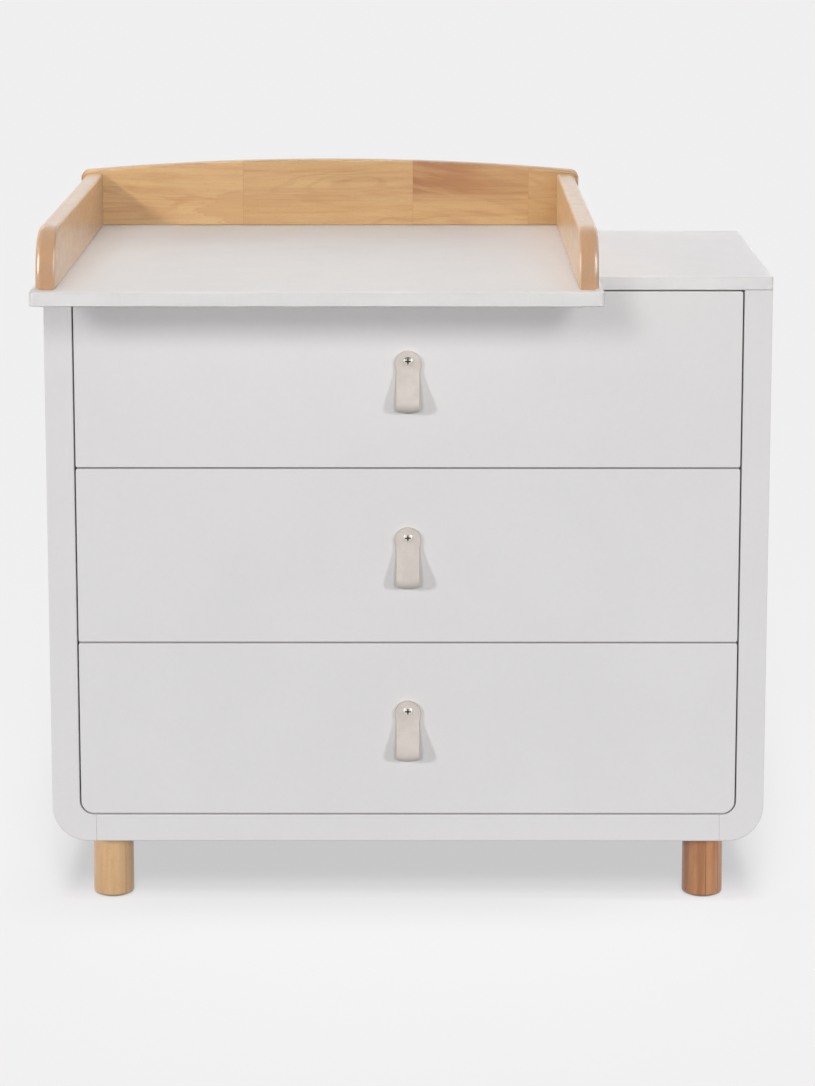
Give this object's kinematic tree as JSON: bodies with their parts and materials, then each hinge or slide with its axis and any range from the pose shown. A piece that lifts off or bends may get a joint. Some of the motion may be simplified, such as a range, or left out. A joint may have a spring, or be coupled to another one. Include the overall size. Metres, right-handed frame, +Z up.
{
  "type": "changing table",
  "caption": "Nursery chest of drawers with rounded lower corners, round wooden legs and leather loop pulls, topped by an overhanging changing board with wooden rails.",
  "frame": {"origin": "middle of the footprint of the whole object, changing board included, on the floor", "axes": "+Z up; the drawers face -Y and open that way; +X to the right as seen from the front"},
  "size_m": [0.96, 0.754, 0.9756],
  "materials": {
    "white_lacquer": "satin white lacquer on board",
    "drawer_board": "matt white foil on board",
    "rubberwood": "satin clear lacquer",
    "leg_wood": "satin clear lacquer",
    "pale_leather": "smooth, raw cut edges",
    "zinc_steel": "bright zinc plate",
    "screw": "nickel plate",
    "felt": "pressed felt"
  },
  "bodies": {
    "chest": {"top_panel": "white_lacquer", "left_side_panel": "white_lacquer", "right_side_panel": "white_lacquer", "bottom_panel": "white_lacquer", "back_panel": "white_lacquer", "lower_cross_rail": "white_lacquer", "upper_cross_rail": "white_lacquer", "front_left_leg": "leg_wood", "front_left_glide": "felt", "front_right_leg": "leg_wood", "front_right_glide": "felt", "rear_left_leg": "leg_wood", "rear_left_glide": "felt", "rear_right_leg": "leg_wood", "rear_right_glide": "felt", "changer_board": "white_lacquer", "changer_left_rail": "rubberwood", "changer_right_rail": "rubberwood", "changer_back_rail": "rubberwood", "left_changer_bracket": "zinc_steel", "right_changer_bracket": "zinc_steel", "bottom_left_cabinet_rail": "zinc_steel", "bottom_right_cabinet_rail": "zinc_steel", "middle_left_cabinet_rail": "zinc_steel", "middle_right_cabinet_rail": "zinc_steel", "top_left_cabinet_rail": "zinc_steel", "top_right_cabinet_rail": "zinc_steel"},
    "bottom_drawer": {"bottom_drawer_front": "white_lacquer", "bottom_drawer_left_side": "drawer_board", "bottom_drawer_right_side": "drawer_board", "bottom_drawer_back": "drawer_board", "bottom_drawer_bottom": "drawer_board", "bottom_drawer_pull": "pale_leather", "bottom_drawer_pull_screw": "screw", "bottom_left_drawer_rail": "zinc_steel", "bottom_right_drawer_rail": "zinc_steel"},
    "bottom_runners": {"bottom_left_middle_rail": "zinc_steel", "bottom_right_middle_rail": "zinc_steel"},
    "middle_drawer": {"middle_drawer_front": "white_lacquer", "middle_drawer_left_side": "drawer_board", "middle_drawer_right_side": "drawer_board", "middle_drawer_back": "drawer_board", "middle_drawer_bottom": "drawer_board", "middle_drawer_pull": "pale_leather", "middle_drawer_pull_screw": "screw", "middle_left_drawer_rail": "zinc_steel", "middle_right_drawer_rail": "zinc_steel"},
    "middle_runners": {"middle_left_middle_rail": "zinc_steel", "middle_right_middle_rail": "zinc_steel"},
    "top_drawer": {"top_drawer_front": "white_lacquer", "top_drawer_left_side": "drawer_board", "top_drawer_right_side": "drawer_board", "top_drawer_back": "drawer_board", "top_drawer_bottom": "drawer_board", "top_drawer_pull": "pale_leather", "top_drawer_pull_screw": "screw", "top_left_drawer_rail": "zinc_steel", "top_right_drawer_rail": "zinc_steel"},
    "top_runners": {"top_left_middle_rail": "zinc_steel", "top_right_middle_rail": "zinc_steel"}
  },
  "joints": [
    {"name": "bottom_drawer_slide", "type": "slide", "parent": "chest", "child": "bottom_drawer", "axis": [0, -1, 0], "range_m": [0, 0.4]},
    {"name": "bottom_runner_slide", "type": "slide", "parent": "chest", "child": "bottom_runners", "axis": [0, -1, 0], "range_m": [0, 0.2]},
    {"name": "middle_drawer_slide", "type": "slide", "parent": "chest", "child": "middle_drawer", "axis": [0, -1, 0], "range_m": [0, 0.4]},
    {"name": "middle_runner_slide", "type": "slide", "parent": "chest", "child": "middle_runners", "axis": [0, -1, 0], "range_m": [0, 0.2]},
    {"name": "top_drawer_slide", "type": "slide", "parent": "chest", "child": "top_drawer", "axis": [0, -1, 0], "range_m": [0, 0.4]},
    {"name": "top_runner_slide", "type": "slide", "parent": "chest", "child": "top_runners", "axis": [0, -1, 0], "range_m": [0, 0.2]}
  ],
  "couplings": [
    {"joint": "bottom_runner_slide", "follows": "bottom_drawer_slide", "ratio": 0.5},
    {"joint": "middle_runner_slide", "follows": "middle_drawer_slide", "ratio": 0.5},
    {"joint": "top_runner_slide", "follows": "top_drawer_slide", "ratio": 0.5}
  ]
}
